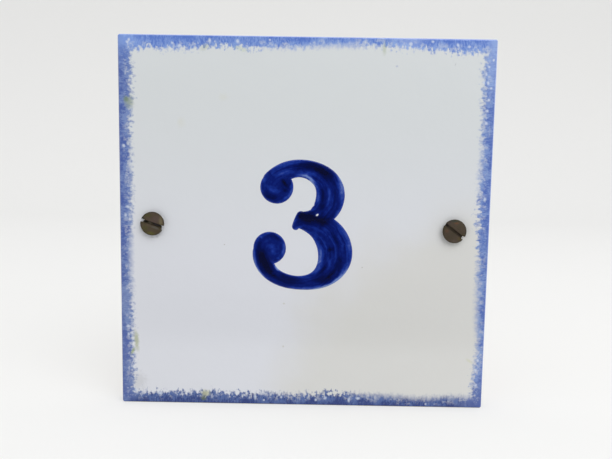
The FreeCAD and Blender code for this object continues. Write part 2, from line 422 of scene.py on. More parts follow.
teeth = {"level": marks(0.85, 0.35, 2.0), "upright": marks(0.35, 0.85, 2.0)}
streaks = {"level": marks(2.0, 0.6, 2.0), "upright": marks(0.6, 2.0, 2.0)}
blotches = add_node(tree, "TexNoise", {"Vector": in_mm, "Scale": 0.75, "Detail": 2.0, "Roughness": 0.55})
dab = add_node(tree, "TexNoise", {"Vector": in_mm, "Scale": 0.24, "Detail": 3.0, "Roughness": 0.55})
most_reach, most_jagged, tooth_length = 10.0, 3.0, 3.2
softest, sharpening = 2.45, 0.62
furthest_in, corner_blend, rim_thinning_and_light_share = 8.5, 4.0, 0.8
paint = None
for side, (reaches, jags, pale, deep, thin_rim_and_painted_light) in sponged_sides.items():
    level = side in ("top", "bottom")
    late = 1.8 if side == "bottom" else 0.0
    lie = "level" if level else "upright"
    start = -half_mm if level else half_mm
    run = add_node(
        tree, "MapRange", {"Value": x_mm if level else z_mm, "From Min": start, "From Max": -start}
    )
    sign = 1.0 if side in ("left", "bottom") else -1.0
    depth_in = add_node(
        tree, "Math", {0: z_mm if level else x_mm, 1: sign, 2: half_mm}, operation="MULTIPLY_ADD"
    )
    reach = along_side(run, reaches, most_reach)
    inside = add_node(tree, "Math", {0: reach, 1: depth_in}, operation="SUBTRACT")
    jagged = along_side(run, jags, most_jagged)
    rough = add_node(tree, "Math", {0: teeth[lie], 1: blotches}, operation="ADD")
    rough = add_node(tree, "Math", {0: rough, 1: 1.0}, operation="SUBTRACT")
    torn = add_node(tree, "Math", {0: rough, 1: jagged}, operation="MULTIPLY")
    shore = add_node(tree, "Math", {0: torn, 1: tooth_length, 2: inside}, operation="MULTIPLY_ADD")
    soft = add_node(tree, "Math", {0: jagged, 1: -sharpening, 2: softest}, operation="MULTIPLY_ADD")
    outermost = add_node(tree, "Math", {0: soft, 1: -1.0}, operation="MULTIPLY")
    cover = add_node(
        tree, "MapRange", {"Value": shore, "From Min": outermost, "From Max": soft},
        interpolation_type="SMOOTHSTEP",
    )
    near = add_node(tree, "Math", {0: depth_in, 1: furthest_in}, operation="LESS_THAN")
    cover = add_node(tree, "Math", {0: cover, 1: near}, operation="MULTIPLY")
    mottle = add_node(tree, "Math", {0: dab, 1: streaks[lie]}, operation="ADD")
    mottle = add_node(tree, "Math", {0: inside, 1: 0.05, 2: mottle}, operation="MULTIPLY_ADD")
    thick = add_node(
        tree, "MapRange", {"Value": mottle, "From Min": 0.90, "From Max": 1.34},
        interpolation_type="SMOOTHSTEP",
    )
    tone = add_node(tree, "Mix", {"Factor": thick, "A": linear(pale), "B": linear(deep)}, data_type="RGBA")
    # The rolled rim takes the rim tone: thinning glaze, with a painted highlight on the top and right rims
    # and a painted shade on the bottom rim.
    on_roll = add_node(
        tree, "MapRange", {"Value": depth_in, "From Min": 0.6, "From Max": 0.15},
        interpolation_type="SMOOTHSTEP",
    )
    on_front = add_node(
        tree, "MapRange", {"Value": y_mm, "From Min": -5.9, "From Max": -6.5},
        interpolation_type="SMOOTHSTEP",
    )
    rim_thinning_and_light = add_node(tree, "Math", {0: on_roll, 1: on_front}, operation="MULTIPLY")
    rim_thinning_and_light = add_node(tree, "Math", {0: rim_thinning_and_light, 1: rim_thinning_and_light_share}, operation="MULTIPLY")
    tone = add_node(tree, "Mix", {"Factor": rim_thinning_and_light, "A": tone, "B": linear(thin_rim_and_painted_light)}, data_type="RGBA")
    if paint is None:
        paint, blue, depth = cover, tone, inside
    else:
        lead = add_node(tree, "Math", {0: inside, 1: depth}, operation="SUBTRACT")
        leads = add_node(
            tree, "MapRange",
            {"Value": lead, "From Min": late - corner_blend, "From Max": late + corner_blend},
            interpolation_type="SMOOTHSTEP",
        )
        blue = add_node(tree, "Mix", {"Factor": leads, "A": blue, "B": tone}, data_type="RGBA")
        paint = add_node(tree, "Math", {0: cover, 1: paint}, operation="MAXIMUM")
        depth = add_node(tree, "Math", {0: inside, 1: depth}, operation="MAXIMUM")
thin_spots = add_node(tree, "TexNoise", {"Vector": in_mm, "Scale": 0.65, "Detail": 2.0, "Roughness": 0.5})
thin_spots = add_node(
    tree, "MapRange", {"Value": thin_spots, "From Min": 0.5, "From Max": 0.68, "To Max": 0.38},
    interpolation_type="SMOOTHSTEP",
)
inner_part = add_node(
    tree, "MapRange", {"Value": depth, "From Min": 4.0, "From Max": 1.6}, interpolation_type="SMOOTHSTEP"
)
thin_spots = add_node(tree, "Math", {0: thin_spots, 1: inner_part}, operation="MULTIPLY")
thin_spots = add_node(tree, "Math", {0: 1.0, 1: thin_spots}, operation="SUBTRACT")
paint = add_node(tree, "Math", {0: paint, 1: thin_spots}, operation="MULTIPLY")

# The blue was mixed unevenly: stretches of each side came out a little paler or deeper than the rest.
blue = stain(tree, in_mm, blue, [
    (73.4, 67.0, 2.8, 19.0, 0, "#A9C0EC", 0.42), (73.0, -73.0, 5.0, 11.0, 0, "#46599A", 0.75),
    (-73.0, 74.0, 5.0, 11.0, 0, "#7F9FE0", 0.35), (-73.0, -69.0, 5.0, 13.0, 0, "#3F5494", 0.35),
    (-73.0, -31.0, 5.0, 6.0, 0, "#9AA9CC", 0.35), (-72.0, 73.0, 9.0, 4.0, 0, "#9DBBEE", 0.25),
    (40.0, 73.0, 7.0, 5.0, 0, "#B0C4EC", 0.4), (20.0, 73.0, 7.0, 5.0, 0, "#5F80D0", 0.35),
    (67.0, -73.0, 4.0, 4.0, 0, "#8496C8", 0.2),
])
decorated = add_node(tree, "Mix", {"Factor": paint, "A": white, "B": blue}, data_type="RGBA")

# The sponge's larger pores left pale specks: place across and up, half width and half height in mm.
sponge_pores = [
    (-70.5, 72.7, 0.7, 0.7), (-50.4, 70.6, 1.0, 0.7), (-38.6, 72.8, 0.6, 1.1), (-53.3, 71.7, 0.7, 0.6),
    (-27.5, 72.7, 0.7, 0.9), (-14.8, 73.4, 0.5, 0.5), (40.7, 72.7, 0.8, 0.8), (59.3, 72.4, 0.7, 0.8),
    (49.3, 73.6, 0.6, 0.5), (63.8, 71.8, 0.8, 0.6), (71.8, 47.2, 0.7, 0.7), (71.6, 42.2, 0.8, 0.8),
    (72.3, 51.5, 0.6, 0.5), (73.5, 66.9, 0.5, 0.6), (72.5, 12.1, 0.7, 1.0), (70.5, -5.9, 0.8, 0.8),
    (72.2, -65.2, 0.7, 0.8), (51.7, -73.6, 0.5, 0.5), (23.4, -71.7, 1.0, 0.7), (19.6, -72.4, 0.6, 1.2),
    (9.8, -71.7, 0.8, 0.8), (5.8, -72.6, 0.5, 0.6), (-15.8, -73.1, 0.5, 0.5), (-19.5, -71.7, 0.6, 1.6),
    (-8.6, -71.7, 0.6, 0.7), (-59.3, -70.8, 1.1, 0.8), (-69.2, -69.7, 0.8, 0.8), (-72.0, -46.0, 0.7, 0.7),
    (-72.0, -42.6, 0.9, 0.7), (-72.7, 3.4, 0.7, 0.9), (-71.6, 6.8, 1.2, 0.7), (-73.0, 31.2, 0.7, 0.8),
    (-71.1, 71.9, 0.7, 0.7), (71.8, 64.3, 0.6, 0.5), (70.9, 61.5, 0.5, 0.8), (71.7, 58.0, 0.6, 0.7),
    (70.0, 58.3, 0.5, 0.7), (73.0, 56.0, 0.6, 0.5), (72.0, -58.8, 0.6, 0.7), (72.6, -54.5, 0.5, 0.7),
]
decorated = stain(tree, in_mm, decorated, [(*pore, 0, "#C9D2E2", 0.85) for pore in sponge_pores])

# Moss green has crept over the border in a few places, and the glaze has small flecks of dirt.
weather_marks = [
    (-70.5, 48.6, 1.9, 2.8, 0, "#9CA798", 0.8), (-71.9, 49.8, 1.3, 1.3, 0, "#74886A", 0.75),
    (-68.8, -48.3, 1.2, 4.6, -6, "#A9B08E", 0.8), (-70.4, -53.0, 0.7, 1.8, 30, "#8FA05A", 0.7),
    (-40.2, -70.5, 2.2, 1.5, 0, "#B2B592", 0.85), (-40.9, -72.7, 1.2, 1.2, 0, "#56664A", 0.85),
    (-40.4, 70.3, 2.2, 1.1, -25, "#A2AC92", 0.45), (-26.0, 69.8, 3.2, 1.0, 15, "#BCC8AC", 0.4),
    (30.4, 70.6, 0.9, 2.6, 0, "#A9B49A", 0.5), (-32.5, -8.0, 0.35, 0.25, 0, "#8F8C80", 0.6),
    (23.8, -16.5, 0.3, 0.3, 0, "#8F8C80", 0.5), (35.5, 64.0, 0.5, 0.4, 0, "#9FAAC8", 0.6),
    (58.5, 65.0, 0.2, 0.7, 20, "#A3A6AC", 0.5), (-33.0, 51.0, 2.2, 1.6, 0, "#CFCFBE", 0.22),
    (-50.0, 41.0, 1.8, 2.2, 0, "#CFCFBE", 0.25), (-8.0, -32.0, 0.5, 0.4, 0, "#B9B7A8", 0.5),
    (-8.0, -50.0, 0.5, 0.5, 0, "#B9B7A8", 0.5), (69.3, -55.0, 2.0, 0.6, 35, "#CBCDAE", 0.45),
]
decorated = stain(tree, in_mm, decorated, weather_marks)

# The biscuit: bare clay from a ragged line near the foot of the sides, over the whole back. It is buff, with
# fired patches and dark grog, and white glaze has splashed round the back's margin.
foot = add_node(tree, "TexNoise", {"Vector": in_mm, "Scale": 0.3, "Detail": 3.0})
foot = add_node(tree, "Math", {0: foot, 1: 1.2, 2: y_mm}, operation="MULTIPLY_ADD")
bare = add_node(
    tree, "MapRange", {"Value": foot, "From Min": -0.75, "From Max": -0.45}, interpolation_type="SMOOTHSTEP"
)
grit = add_node(tree, "TexNoise", {"Vector": in_mm, "Scale": 1.6, "Detail": 6.0, "Roughness": 0.7})
clay = add_node(
    tree, "Mix", {"Factor": grit, "A": linear("#B18A6C"), "B": linear("#D6B698")}, data_type="RGBA"
)
flashing = add_node(tree, "TexNoise", {"Vector": in_mm, "Scale": 0.022, "Detail": 4.0, "Roughness": 0.55})
flashed = add_node(
    tree, "MapRange", {"Value": flashing, "From Min": 0.42, "From Max": 0.62, "To Max": 0.6},
    interpolation_type="SMOOTHSTEP",
)
clay = add_node(tree, "Mix", {"Factor": flashed, "A": clay, "B": linear("#B5805E")}, data_type="RGBA")
grog = add_node(tree, "TexVoronoi", {"Vector": in_mm, "Scale": 0.45})
grain_chance = add_node(tree, "SeparateColor", {0: grog.outputs["Color"]}).outputs["Green"]
grain_size = add_node(
    tree, "MapRange", {"Value": grain_chance, "From Min": 0.55, "From Max": 1.0, "To Max": 0.16}
)
on_grain = add_node(tree, "Math", {0: grog.outputs["Distance"], 1: grain_size}, operation="LESS_THAN")
on_grain = add_node(tree, "Math", {0: on_grain, 1: 0.6}, operation="MULTIPLY")
clay = add_node(tree, "Mix", {"Factor": on_grain, "A": clay, "B": linear("#7C5A48")}, data_type="RGBA")
slop = add_node(tree, "TexNoise", {"Vector": in_mm, "Scale": 0.11, "Detail": 5.0, "Roughness": 0.65})
to_side = add_node(tree, "Math", {0: x_mm}, operation="ABSOLUTE")
to_end = add_node(tree, "Math", {0: z_mm}, operation="ABSOLUTE")
to_edge = add_node(tree, "Math", {0: to_side, 1: to_end}, operation="MAXIMUM")
splashed = add_node(tree, "Math", {0: slop, 1: 22.0, 2: to_edge}, operation="MULTIPLY_ADD")
splashed = add_node(
    tree, "MapRange", {"Value": splashed, "From Min": 86.5, "From Max": 88.0, "To Max": 0.8},
    interpolation_type="SMOOTHSTEP",
)
clay = add_node(tree, "Mix", {"Factor": splashed, "A": clay, "B": linear("#DCDBD4")}, data_type="RGBA")
colour = add_node(tree, "Mix", {"Factor": bare, "A": decorated, "B": clay}, data_type="RGBA")
gloss = add_node(tree, "MapRange", {"Value": bare, "To Min": 0.16, "To Max": 0.88})
dimples = add_node(tree, "TexNoise", {"Vector": in_mm, "Scale": 0.12, "Detail": 3.0})
surface = add_node(
    tree, "Mix", {"Factor": bare, "A": dimples.outputs["Fac"], "B": grit.outputs["Fac"]}, data_type="FLOAT"
)
relief = add_node(tree, "Bump", {"Strength": 0.5, "Distance": 0.0003, "Height": surface})
shader = add_node(
    tree, "BsdfPrincipled", {"Base Color": colour, "Roughness": gloss, "IOR": 1.5, "Normal": relief}
)
add_node(tree, "OutputMaterial", {"Surface": shader})
tile.data.materials.clear()
tile.data.materials.append(glaze)
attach(tile, "root")
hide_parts("tile", "painted_border")

# The numeral: a 3 in thick cobalt glaze, painted freehand in two strokes that end in round blobs, with a
# short spur at the waist. The glaze melted to a low cushion, thin at its rim and pooled dark where strokes
# cross. A finely gridded block takes the shape of its outline, so that each spot can have its own depth.
numeral_relief = 0.0002
face_y = -tile_thickness
outline_stretch = 5
grid_step, grid_margin = 0.0003, 0.001
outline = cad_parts["painted_numeral"].copy()
outline.data = outline.data.copy()
outline.parent = None
bpy.context.scene.collection.objects.link(outline)
choose(outline)
bpy.ops.object.mode_set(mode="EDIT")
bpy.ops.mesh.select_all(action="SELECT")
bpy.ops.mesh.remove_doubles(threshold=0.000001)
bpy.ops.transform.resize(
    value=(1, outline_stretch, 1), center_override=(0, face_y - numeral_relief / 2, 0)
)
bpy.ops.object.mode_set(mode="OBJECT")

low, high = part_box("painted_numeral")
grid_width, grid_height = high.x - low.x + 2 * grid_margin, high.z - low.z + 2 * grid_margin
bpy.ops.object.select_all(action="DESELECT")
bpy.ops.mesh.primitive_grid_add(
    size=1, x_subdivisions=round(grid_width / grid_step), y_subdivisions=round(grid_height / grid_step)
)
numeral = bpy.context.object
numeral.name = "brushed_numeral"
numeral.scale = (grid_width, grid_height, 1)
numeral.rotation_euler = (math.radians(90), 0, 0)
numeral.location = ((low.x + high.x) / 2, face_y - numeral_relief, (low.z + high.z) / 2)
bpy.ops.object.transform_apply(location=True, rotation=True, scale=True)
bpy.ops.object.mode_set(mode="EDIT")
bpy.ops.mesh.select_all(action="SELECT")
bpy.ops.mesh.extrude_region_move(TRANSFORM_OT_translate={"value": (0, numeral_relief, 0)})
bpy.ops.mesh.select_all(action="SELECT")
bpy.ops.mesh.normals_make_consistent(inside=False)
bpy.ops.object.mode_set(mode="OBJECT")
carve(numeral, outline, "INTERSECT")

# Each stroke's path, in millimetres across and up, with the width of the brush mark there.
brush_strokes = [
    [(-7.4, 17.0, 4.0), (-8.6, 14.6, 5.0), (-11.4, 13.0, 6.0), (-14.2, 14.6, 6.0), (-14.3, 17.2, 6.0),
     (-12.6, 19.4, 7.4), (-10.3, 20.9, 7.9), (-6.7, 22.5, 7.4), (-2.1, 23.3, 7.1), (3.6, 22.0, 8.2),
     (8.1, 18.7, 10.2), (10.2, 14.0, 11.5), (9.6, 9.2, 11.3), (6.6, 4.9, 9.2), (3.0, 3.4, 5.0),
     (-1.5, 3.4, 4.0)],
    [(-3.2, 1.0, 4.0), (-0.4, 2.3, 7.3), (2.6, 1.5, 8.9), (5.9, 0.1, 10.8), (9.3, -2.7, 12.7),
     (12.1, -7.6, 13.9), (12.5, -12.8, 13.8), (10.5, -17.4, 11.9), (5.7, -21.7, 8.0), (-0.8, -23.2, 5.8),
     (-6.8, -22.6, 5.7), (-12.9, -19.7, 6.4), (-16.1, -15.4, 7.6), (-17.2, -11.0, 7.0),
     (-16.2, -7.4, 6.5), (-13.4, -5.6, 6.0), (-10.8, -7.2, 6.0), (-10.9, -10.4, 5.0),
     (-12.6, -11.0, 4.0)],
]

# The trails that the brush left: more glaze (above nought) or less, half the trail's width, and where it
# ran, in millimetres. Two lanes of less glaze are painted highlights as well as thin glaze: the one along
# the upper bowl's inner top edge and the one inside the lower bowl.
brush_trails_and_highlights = [
    # the upper bowl, from its ball round to the waist
    (-0.20, 0.9, (-15.0, 21.2), (-12.0, 23.4), (-8.0, 25.1), (-3.0, 26.0), (3.0, 26.3)),
    (0.14, 1.0, (-14.6, 20.9), (-14.0, 21.4)),
    (-0.24, 0.8, (-12.0, 20.2), (-8.0, 22.0), (-4.6, 22.9)),
    (0.22, 1.6, (-5.5, 24.9), (-1.0, 24.7), (3.0, 24.2), (6.0, 23.0)),
    (0.30, 1.7, (2.0, 24.1), (7.0, 22.2), (9.4, 20.6), (11.0, 18.0)),
    # painted highlight as well as thin glaze: the light lane under the upper bowl's top
    (-0.42, 0.8, (-3.8, 20.6), (-1.5, 20.8), (0.4, 20.5), (1.8, 19.6), (3.4, 17.8), (4.4, 16.0)),
    (-0.12, 1.0, (0.5, 21.8), (3.0, 21.2), (5.0, 20.2)),
    (0.16, 1.3, (7.6, 17.5), (7.3, 13.0), (7.4, 10.0), (7.0, 8.0)),
    (0.16, 1.0, (7.4, 9.6), (6.8, 7.6), (5.6, 6.6)),
    (-0.20, 0.9, (4.9, 15.0), (5.4, 12.0), (5.3, 10.0), (4.8, 8.4)),
    (-0.18, 1.0, (9.2, 18.4), (9.9, 15.5), (10.0, 12.0), (9.4, 9.0), (8.2, 6.6)),
    (0.10, 0.8, (12.0, 18.0), (12.2, 14.0), (12.2, 10.5), (11.2, 7.2), (10.4, 6.0)),
    (-0.32, 0.9, (12.6, 21.6), (14.0, 18.3), (14.9, 14.6), (14.7, 11.5), (14.4, 9.5)),
    (-0.12, 0.7, (14.2, 7.4), (13.2, 5.4), (12.2, 4.2)),
    # the upper ball
    (0.34, 1.9, (-9.0, 16.8), (-7.6, 17.9)),
    (0.16, 1.2, (-7.8, 15.4), (-8.6, 13.6)),
    (-0.14, 0.9, (-15.5, 16.6), (-13.4, 14.4), (-11.0, 14.1), (-9.6, 14.6)),
    (0.20, 1.2, (-16.4, 14.0), (-15.0, 12.0), (-12.5, 11.3), (-10.5, 11.9)),
    (-0.18, 0.6, (-5.3, 17.0), (-5.4, 14.6), (-6.8, 12.3), (-9.0, 10.6)),
    (-0.08, 0.8, (-17.3, 17.0), (-16.2, 19.2), (-15.6, 20.2)),
    # the waist and its spur
    (0.42, 2.0, (-3.5, 3.4), (2.0, 3.1), (6.0, 2.6), (10.8, 2.6)),
    (0.30, 1.4, (-2.6, 5.0), (-1.4, 4.6), (0.6, 4.0)),
    (0.20, 1.2, (6.0, 1.2), (8.4, 0.4)),
    (0.16, 0.9, (0.5, 5.2), (4.0, 5.6)),
    (-0.12, 0.5, (-3.2, 4.6), (-3.6, 2.8), (-4.3, 1.0)),
    (-0.14, 0.5, (-4.0, 0.2), (-3.6, -0.4)),
    # the lower bowl, from the waist round to its ball
    (-0.16, 1.3, (12.2, 2.2), (15.0, -0.5), (17.0, -4.0), (18.0, -7.0), (18.3, -10.0), (18.0, -14.0)),
    (-0.10, 0.8, (17.8, -6.6), (18.2, -9.0)),
    (0.16, 0.8, (9.5, -0.5), (12.0, -4.0), (13.8, -7.0), (14.8, -10.0)),
    (0.26, 0.9, (14.9, -11.0), (15.0, -14.0), (14.0, -16.6), (12.8, -18.4)),
    (-0.12, 0.7, (8.4, -2.0), (11.0, -5.0), (12.8, -8.0), (13.0, -11.0), (12.5, -13.5)),
    (0.22, 1.3, (10.4, -8.4), (11.0, -10.4)),
    # painted highlight as well as thin glaze: the light lane inside the lower bowl
    (-0.27, 1.1, (4.4, -5.2), (6.2, -8.5), (6.8, -11.0), (6.7, -14.0), (5.9, -17.0), (4.2, -19.4)),
    (-0.12, 0.7, (8.0, -6.0), (8.6, -9.0), (8.4, -12.0)),
    (-0.14, 0.6, (10.3, -12.6), (10.0, -16.0)),
    (0.16, 0.8, (8.8, -15.0), (8.0, -18.0), (6.4, -20.2)),
    (0.30, 1.5, (13.2, -17.6), (10.0, -20.6), (7.0, -21.8), (3.0, -22.0)),
    (-0.50, 0.8, (17.8, -14.8), (17.2, -17.0), (15.1, -20.8), (11.6, -23.6), (8.0, -25.0), (4.0, -25.6),
     (0.0, -25.6)),
    (-0.14, 0.7, (2.0, -25.4), (-3.0, -25.5), (-7.0, -24.9)),
    (-0.14, 0.6, (4.2, -20.8), (0.0, -21.1), (-3.0, -21.2)),
    (0.24, 1.2, (1.0, -22.9), (-7.0, -22.3), (-11.0, -20.7), (-13.6, -18.8)),
    (0.52, 1.9, (-12.6, -20.4), (-14.4, -18.6), (-15.9, -15.8), (-17.2, -12.6), (-18.6, -8.6)),
    (-0.34, 0.6, (-20.4, -8.0), (-20.4, -12.0), (-19.5, -16.0), (-17.7, -19.2), (-14.6, -22.3)),
    (-0.28, 0.5, (-11.8, -15.9), (-11.2, -17.4), (-9.8, -18.7)),
    # the lower ball
    (-0.14, 0.8, (-12.2, -8.0), (-12.9, -12.0)),
    (-0.12, 1.2, (-14.5, -7.0), (-13.2, -10.0)),
    (-0.22, 0.6, (-8.7, -6.4), (-8.2, -9.0), (-9.0, -11.4), (-10.6, -13.4)),
    (0.14, 0.9, (-14.6, -4.0), (-12.0, -4.3), (-10.0, -5.8)),
    (-0.16, 0.7, (-17.9, -4.9), (-17.2, -4.5)),
]

# The glaze's depth, nought to one: even, a little deeper 1.5 mm inside the rim, and thin along it. A trail
# fades at its ends. The brush was turned on the spot in both balls, so its streaks are faint there. The face
# rises from the rim to a low cushion within 1.1 mm.
even_depth, extra_inside, inside_from, rim_loss, rim_width = 0.54, 0.06, 1.5, 0.20, 0.42
trail_gain, end_strength, end_share = 1.35, 0.2, 0.35
ball_middles, ball_radius, ball_calm = ((-11.4, 15.7), (-13.9, -8.6)), 5.0, 0.65
rim_height, cushion_height, cushion_run = 0.15, 0.8, 1.1
strokes_apart = 100
form = bmesh.new()
form.from_mesh(numeral.data)
form.normal_update()
edge = [vertex for vertex in form.verts if any(abs(face.normal.y) < 0.5 for face in vertex.link_faces)]
rim = KDTree(len(edge))
for number, vertex in enumerate(edge):
    rim.insert(Vector((vertex.co.x, 0, vertex.co.z)), number)
rim.balance()
spots = np.array([(vertex.co.x, vertex.co.z) for vertex in form.verts]) * 1000
to_rim = np.array([rim.find(Vector((vertex.co.x, 0, vertex.co.z)))[2] for vertex in form.verts]) * 1000
glaze_depth_and_highlight = even_depth + extra_inside * np.minimum(to_rim / inside_from, 1.0)
glaze_depth_and_highlight -= rim_loss * np.exp(-((to_rim / rim_width) ** 2))


def nearest_on(course):
    """How far each spot lies from a course, how far along it, to which side of it, and its length."""
    nearest = np.full(len(spots), np.inf)
    along, side, run = np.zeros(len(spots)), np.zeros(len(spots)), 0.0
    for begin, end in zip(course, course[1:]):
        way = np.subtract(end, begin)
        span = math.hypot(*way)
        share = np.clip((spots - begin) @ way / span ** 2, 0, 1)
        off = spots - begin - share[:, None] * way
        gap = np.hypot(*off.T)
        nearer = gap < nearest
        nearest[nearer] = gap[nearer]
        along[nearer] = (run + share * span)[nearer]
        side[nearer] = ((off[:, 0] * way[1] - off[:, 1] * way[0]) / span)[nearer]
        run += span
    return nearest, along, side, run


# Each spot takes its place along and across the stroke whose middle lies nearest.
along_brush, across_brush = np.zeros(len(spots)), np.zeros(len(spots))
best = np.full(len(spots), np.inf)
for number, stroke in enumerate(brush_strokes):
    course = [(x, z) for x, z, width in stroke]
    gap, along, side, length = nearest_on(course)
    spans = [math.dist(begin, end) for begin, end in zip(course, course[1:])]
    stations = np.append(0, np.cumsum(spans))
    gap = gap / np.interp(along, stations, [width for x, z, width in stroke])
    nearer = gap < best
    best[nearer] = gap[nearer]
    along_brush[nearer] = (along + strokes_apart * number)[nearer]
    across_brush[nearer] = side[nearer]
for amount, half_width, *course in brush_trails_and_highlights:
    gap, along, side, length = nearest_on(course)
    end_fade = np.clip(np.minimum(along, length - along) / (end_share * length), 0, 1)
    fade = end_strength + (1 - end_strength) * end_fade
    glaze_depth_and_highlight += trail_gain * amount * fade * np.exp(-((gap / half_width) ** 2))
on_balls = [np.exp(-((np.hypot(*(spots - middle).T) / ball_radius) ** 4)) for middle in ball_middles]
brush_pull = 1.0 - ball_calm * np.maximum(*on_balls)
measures = {
    "along_brush": along_brush, "across_brush": across_brush, "glaze_depth_and_highlight": glaze_depth_and_highlight,
    "brush_pull": brush_pull,
}
for name, values in measures.items():
    layer = form.verts.layers.float.new(name)
    for vertex, value in zip(form.verts, values):
        vertex[layer] = value
for vertex, inward in zip(form.verts, to_rim):
    if vertex.co.y < face_y - numeral_relief / 2:
        rise = min(inward / cushion_run, 1.0)
        height = rim_height + cushion_height * math.sqrt(rise * (2 - rise))
        vertex.co.y = face_y - numeral_relief * height
form.to_mesh(numeral.data)
form.free()
choose(numeral)
bpy.ops.object.shade_smooth_by_angle(angle=math.radians(50))

# Cobalt glaze: a deep violet-blue glass that shows the white under it where it is thin and goes nearly
# black where it is thick. The brush left long soft streaks 0.4 to 1 mm wide.
cobalt, tree = new_material("cobalt_glaze")
along = add_node(tree, "Attribute", attribute_name="along_brush").outputs["Fac"]
across = add_node(tree, "Attribute", attribute_name="across_brush").outputs["Fac"]
depth = add_node(tree, "Attribute", attribute_name="glaze_depth_and_highlight").outputs["Fac"]
pull = add_node(tree, "Attribute", attribute_name="brush_pull").outputs["Fac"]
place = add_node(tree, "TexCoord").outputs["Object"]
in_mm = add_node(tree, "VectorMath", {"Vector": place, "Scale": 1000.0}, operation="SCALE")
clouds = add_node(tree, "TexNoise", {"Vector": in_mm, "Scale": 0.8, "Detail": 2.0})
stroke_place = add_node(
    tree, "CombineXYZ",
    {"X": add_node(tree, "Math", {0: along, 1: 0.07}, operation="MULTIPLY"),
     "Y": add_node(tree, "Math", {0: across, 1: 0.85}, operation="MULTIPLY")},
)
streaks = add_node(
    tree, "TexNoise",
    {"Vector": stroke_place, "Scale": 1.0, "Detail": 4.0, "Roughness": 0.55, "Distortion": 0.3},
)
uneven = add_node(tree, "Math", {0: streaks, 1: 0.5}, operation="SUBTRACT")
uneven = add_node(tree, "Math", {0: uneven, 1: pull}, operation="MULTIPLY")
cloudy = add_node(tree, "Math", {0: clouds, 1: 0.5}, operation="SUBTRACT")
# The depth read here also carries the painted highlights laid in with the brush trails.
glaze_thickness_and_highlight = add_node(tree, "Math", {0: uneven, 1: 0.75, 2: depth}, operation="MULTIPLY_ADD")
glaze_thickness_and_highlight = add_node(tree, "Math", {0: cloudy, 1: 0.28, 2: glaze_thickness_and_highlight}, operation="MULTIPLY_ADD")
glaze_tones = [
    (0.03, "#6980BC"), (0.22, "#33499A"), (0.42, "#15308A"), (0.60, "#071A69"), (0.80, "#020F4D"),
    (1.05, "#060A30"),
]
blue = None
for (thinner, _), (thicker, tone) in zip(glaze_tones, glaze_tones[1:]):
    share = add_node(tree, "MapRange", {"Value": glaze_thickness_and_highlight, "From Min": thinner, "From Max": thicker})
    before = blue or linear(glaze_tones[0][1])
    blue = add_node(tree, "Mix", {"Factor": share, "A": before, "B": linear(tone)}, data_type="RGBA")
ridges = add_node(tree, "Bump", {"Strength": 0.35, "Distance": 0.00012, "Height": streaks.outputs["Fac"]})
shader = add_node(
    tree, "BsdfPrincipled", {"Base Color": blue, "Roughness": 0.22, "IOR": 1.52, "Normal": ridges}
)
add_node(tree, "OutputMaterial", {"Surface": shader})
numeral.data.materials.clear()
numeral.data.materials.append(cobalt)
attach(numeral, "root")
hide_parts("painted_numeral")

# The screws: turned brass wood screws, 5 x 40, with flat heads that were driven down by hand and stopped
# about 2 mm proud. Each slot was sawn in, and a screwdriver has since worn its ends out, one more than the
# other.
screw_tip_y, head_top_y = 0.03117, -0.00883
head_radius, shank_radius, core_radius, point_radius = 0.0048, 0.0025, 0.0017, 0.0003
slot_half_width, slot_reach, chip_depth = 0.0006, 0.006, 0.0016
# Each slot's turn in degrees; its depth at the left end and at the right end, each on its upper and its lower
# side; and the chip by its worn end: its place before the turn, and its radius.
slot_shapes = {
    "left": (18.0, (0.0015, 0.0010), (0.0022, 0.0012), (0.0048, -0.0005, 0.0011)),
    "right": (36.5, (0.0006, 0.0006), (0.0013, 0.0012), (0.0051, 0.0001, 0.00095)),
}
thread_pitch, thread_steps = 0.0022, 32
thread_start, thread_end = 0.0046, 0.0300
thread_gone_y, thread_taper = screw_tip_y + 0.0004, 0.0055
ridge_corners = [(0.0024, 0), (0.0015, 0.00055), (0.0015, -0.00055)]
blank_profile = [
    (0.00462, head_top_y), (0.00474, head_top_y + 0.00003), (head_radius, head_top_y + 0.00012),
    (head_radius, -0.00843), (shank_radius, -0.00613), (shank_radius, 0.0035),
    (core_radius, 0.0042), (core_radius, 0.0265), (point_radius, screw_tip_y),
]
blank = add_turned("screw_blank", blank_profile, sides=96)

# The rolled thread is a three-sided ridge that winds round the core and shrinks with it towards the point.
bpy.ops.object.select_all(action="DESELECT")
bpy.ops.mesh.primitive_circle_add(vertices=3, radius=0.0005, fill_type="NGON")
thread = bpy.context.object
thread.name = "thread_tool"
for vertex, (radius, rise) in zip(thread.data.vertices, ridge_corners):
    vertex.co = (radius, thread_start + rise, 0)
bpy.ops.object.mode_set(mode="EDIT")
bpy.ops.mesh.select_all(action="SELECT")
size = 1.0
for step in range(round((thread_end - thread_start) / thread_pitch * thread_steps)):
    y = thread_start + (step + 1) * thread_pitch / thread_steps
    bpy.ops.mesh.extrude_region_move(TRANSFORM_OT_translate={"value": (0, thread_pitch / thread_steps, 0)})
    bpy.ops.transform.rotate(value=2 * math.pi / thread_steps, orient_axis="Y", center_override=(0, 0, 0))
    next_size = min(1.0, (thread_gone_y - y) / thread_taper)
    share = next_size / size
    bpy.ops.transform.resize(value=(share, 1, share), center_override=(0, 0, 0))
    size = next_size
bpy.ops.mesh.select_all(action="SELECT")
bpy.ops.mesh.normals_make_consistent(inside=False)
bpy.ops.object.mode_set(mode="OBJECT")
carve(blank, thread, "UNION")

